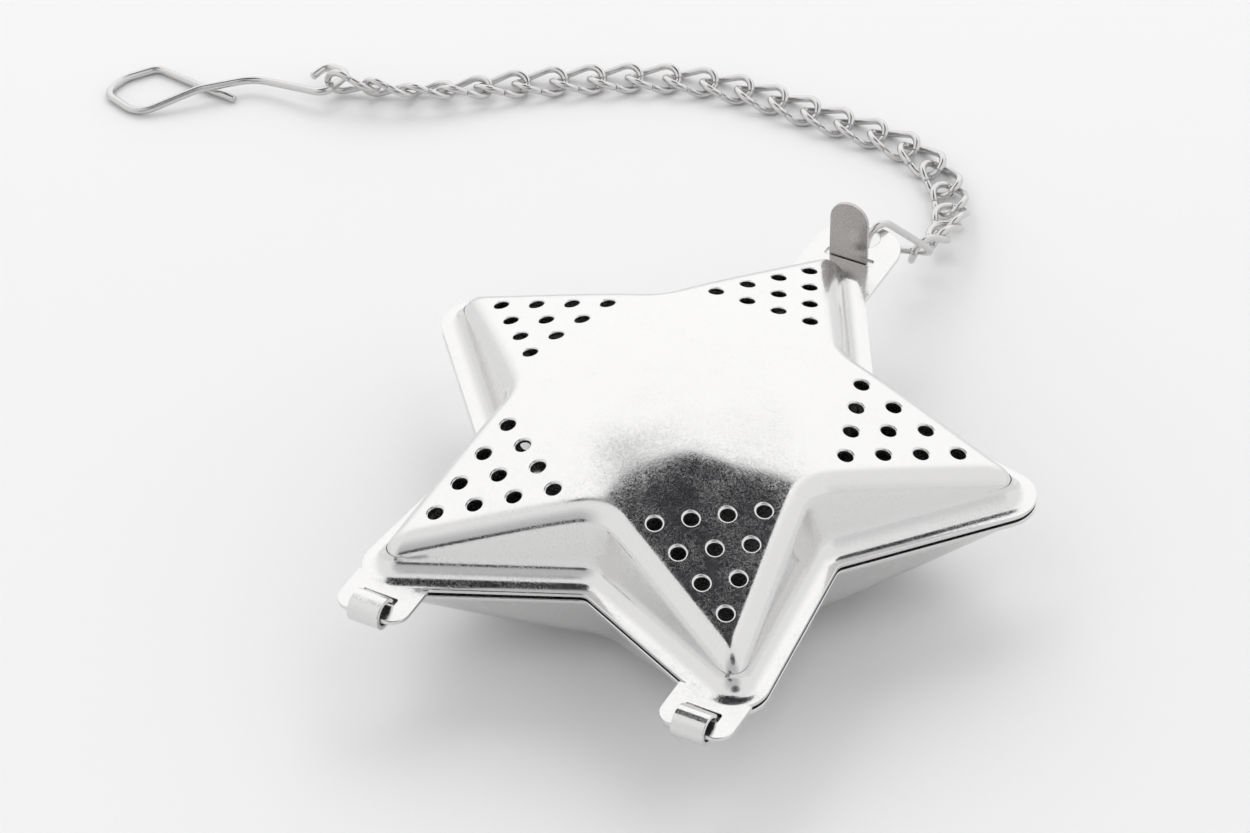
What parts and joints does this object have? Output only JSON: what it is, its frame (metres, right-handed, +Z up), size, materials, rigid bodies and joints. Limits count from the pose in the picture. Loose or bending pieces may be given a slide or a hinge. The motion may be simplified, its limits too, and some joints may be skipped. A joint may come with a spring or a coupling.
{
  "type": "tea infuser",
  "caption": "Hinged star-shaped tea infuser of perforated sheet steel with a snap tongue, a twisted-link chain and a wire cup hook.",
  "frame": {"origin": "on the surface it rests on, under the centre of the star", "axes": "+Z up, +Y from the star's centre to the latch and the chain lug, hinge line parallel to X on the -Y side"},
  "size_m": [0.1308, 0.1062, 0.0221],
  "materials": {
    "polished_sheet": "polished stainless sheet, faint hairline",
    "bright_wire": "bright drawn stainless wire"
  },
  "bodies": {
    "lower_shell": {"lower_shell": "polished_sheet"},
    "upper_shell": {"upper_shell": "polished_sheet"},
    "latch_tongue": {"latch_tongue": "polished_sheet"},
    "lug_link": {"lug_link": "bright_wire"},
    "chain_link_01": {"chain_link_01": "bright_wire"},
    "chain_link_02": {"chain_link_02": "bright_wire"},
    "chain_link_03": {"chain_link_03": "bright_wire"},
    "chain_link_04": {"chain_link_04": "bright_wire"},
    "chain_link_05": {"chain_link_05": "bright_wire"},
    "chain_link_06": {"chain_link_06": "bright_wire"},
    "chain_link_07": {"chain_link_07": "bright_wire"},
    "chain_link_08": {"chain_link_08": "bright_wire"},
    "chain_link_09": {"chain_link_09": "bright_wire"},
    "chain_link_10": {"chain_link_10": "bright_wire"},
    "chain_link_11": {"chain_link_11": "bright_wire"},
    "chain_link_12": {"chain_link_12": "bright_wire"},
    "chain_link_13": {"chain_link_13": "bright_wire"},
    "chain_link_14": {"chain_link_14": "bright_wire"},
    "chain_link_15": {"chain_link_15": "bright_wire"},
    "chain_link_16": {"chain_link_16": "bright_wire"},
    "chain_link_17": {"chain_link_17": "bright_wire"},
    "chain_link_18": {"chain_link_18": "bright_wire"},
    "chain_link_19": {"chain_link_19": "bright_wire"},
    "chain_link_20": {"chain_link_20": "bright_wire"},
    "chain_link_21": {"chain_link_21": "bright_wire"},
    "chain_link_22": {"chain_link_22": "bright_wire"},
    "cup_hook": {"cup_hook": "bright_wire"}
  },
  "joints": [
    {"name": "lid_hinge", "type": "hinge", "parent": "lower_shell", "child": "upper_shell", "pos_m": [0, -0.03245, 0.01148], "axis": [1, 0, 0], "range_deg": [0, 178]},
    {"name": "latch_flex", "type": "hinge", "parent": "lower_shell", "child": "latch_tongue", "pos_m": [0, 0.0356, 0.01063], "axis": [-1, 0, 0], "range_deg": [0, 5], "stiffness_Nm_per_rad": 0.05},
    {"name": "lug_swing", "type": "hinge", "parent": "upper_shell", "child": "lug_link", "pos_m": [0.0003, 0.04095, 0.01148], "axis": [0, 0, 1], "range_deg": [-15, 15]},
    {"name": "link_pivot_01", "type": "hinge", "parent": "lug_link", "child": "chain_link_01", "pos_m": [0.0027, 0.0478, 0.0054], "axis": [0, 0, -1], "range_deg": [-15, 15]},
    {"name": "link_pivot_02", "type": "hinge", "parent": "chain_link_01", "child": "chain_link_02", "pos_m": [0.003, 0.05189, 0.00394], "axis": [0, 0, 1], "range_deg": [-15, 15]},
    {"name": "link_pivot_03", "type": "hinge", "parent": "chain_link_02", "child": "chain_link_03", "pos_m": [0.00241, 0.05599, 0.00262], "axis": [0, 0, -1], "range_deg": [-15, 15]},
    {"name": "link_pivot_04", "type": "hinge", "parent": "chain_link_03", "child": "chain_link_04", "pos_m": [0.001, 0.05999, 0.00167], "axis": [0, 0, 1], "range_deg": [-15, 15]},
    {"name": "link_pivot_05", "type": "hinge", "parent": "chain_link_04", "child": "chain_link_05", "pos_m": [-0.00122, 0.0637, 0.00116], "axis": [0, 0, -1], "range_deg": [-15, 15]},
    {"name": "link_pivot_06", "type": "hinge", "parent": "chain_link_05", "child": "chain_link_06", "pos_m": [-0.00438, 0.06669, 0.00099], "axis": [0, 0, 1], "range_deg": [-15, 15]},
    {"name": "link_pivot_07", "type": "hinge", "parent": "chain_link_06", "child": "chain_link_07", "pos_m": [-0.00832, 0.06852, 0.00101], "axis": [0, 0, -1], "range_deg": [-15, 15]},
    {"name": "link_pivot_08", "type": "hinge", "parent": "chain_link_07", "child": "chain_link_08", "pos_m": [-0.01261, 0.06923, 0.00103], "axis": [0, 0, 1], "range_deg": [-15, 15]},
    {"name": "link_pivot_09", "type": "hinge", "parent": "chain_link_08", "child": "chain_link_09", "pos_m": [-0.01696, 0.06937, 0.00102], "axis": [0, 0, -1], "range_deg": [-15, 15]},
    {"name": "link_pivot_10", "type": "hinge", "parent": "chain_link_09", "child": "chain_link_10", "pos_m": [-0.02131, 0.0696, 0.00102], "axis": [0, 0, 1], "range_deg": [-15, 15]},
    {"name": "link_pivot_11", "type": "hinge", "parent": "chain_link_10", "child": "chain_link_11", "pos_m": [-0.02564, 0.06992, 0.00102], "axis": [0, 0, -1], "range_deg": [-15, 15]},
    {"name": "link_pivot_12", "type": "hinge", "parent": "chain_link_11", "child": "chain_link_12", "pos_m": [-0.02999, 0.06997, 0.00102], "axis": [0, 0, 1], "range_deg": [-15, 15]},
    {"name": "link_pivot_13", "type": "hinge", "parent": "chain_link_12", "child": "chain_link_13", "pos_m": [-0.03432, 0.06949, 0.00102], "axis": [0, 0, -1], "range_deg": [-15, 15]},
    {"name": "link_pivot_14", "type": "hinge", "parent": "chain_link_13", "child": "chain_link_14", "pos_m": [-0.03851, 0.06835, 0.00102], "axis": [0, 0, 1], "range_deg": [-15, 15]},
    {"name": "link_pivot_15", "type": "hinge", "parent": "chain_link_14", "child": "chain_link_15", "pos_m": [-0.04248, 0.06656, 0.00104], "axis": [0, 0, -1], "range_deg": [-15, 15]},
    {"name": "link_pivot_16", "type": "hinge", "parent": "chain_link_15", "child": "chain_link_16", "pos_m": [-0.04627, 0.06443, 0.00105], "axis": [0, 0, 1], "range_deg": [-15, 15]},
    {"name": "link_pivot_17", "type": "hinge", "parent": "chain_link_16", "child": "chain_link_17", "pos_m": [-0.05001, 0.06221, 0.00104], "axis": [0, 0, -1], "range_deg": [-15, 15]},
    {"name": "link_pivot_18", "type": "hinge", "parent": "chain_link_17", "child": "chain_link_18", "pos_m": [-0.05368, 0.05987, 0.00106], "axis": [0, 0, 1], "range_deg": [-15, 15]},
    {"name": "link_pivot_19", "type": "hinge", "parent": "chain_link_18", "child": "chain_link_19", "pos_m": [-0.05717, 0.05728, 0.00123], "axis": [0, 0, -1], "range_deg": [-15, 15]},
    {"name": "link_pivot_20", "type": "hinge", "parent": "chain_link_19", "child": "chain_link_20", "pos_m": [-0.06056, 0.05457, 0.00153], "axis": [0, 0, 1], "range_deg": [-15, 15]},
    {"name": "link_pivot_21", "type": "hinge", "parent": "chain_link_20", "child": "chain_link_21", "pos_m": [-0.06419, 0.0522, 0.00186], "axis": [0, 0, -1], "range_deg": [-15, 15]},
    {"name": "link_pivot_22", "type": "hinge", "parent": "chain_link_21", "child": "chain_link_22", "pos_m": [-0.06824, 0.05063, 0.00211], "axis": [0, 0, 1], "range_deg": [-15, 15]},
    {"name": "hook_pivot", "type": "hinge", "parent": "chain_link_22", "child": "cup_hook", "pos_m": [-0.07243, 0.04946, 0.00233], "axis": [0, 0, -1], "range_deg": [-15, 15]}
  ]
}
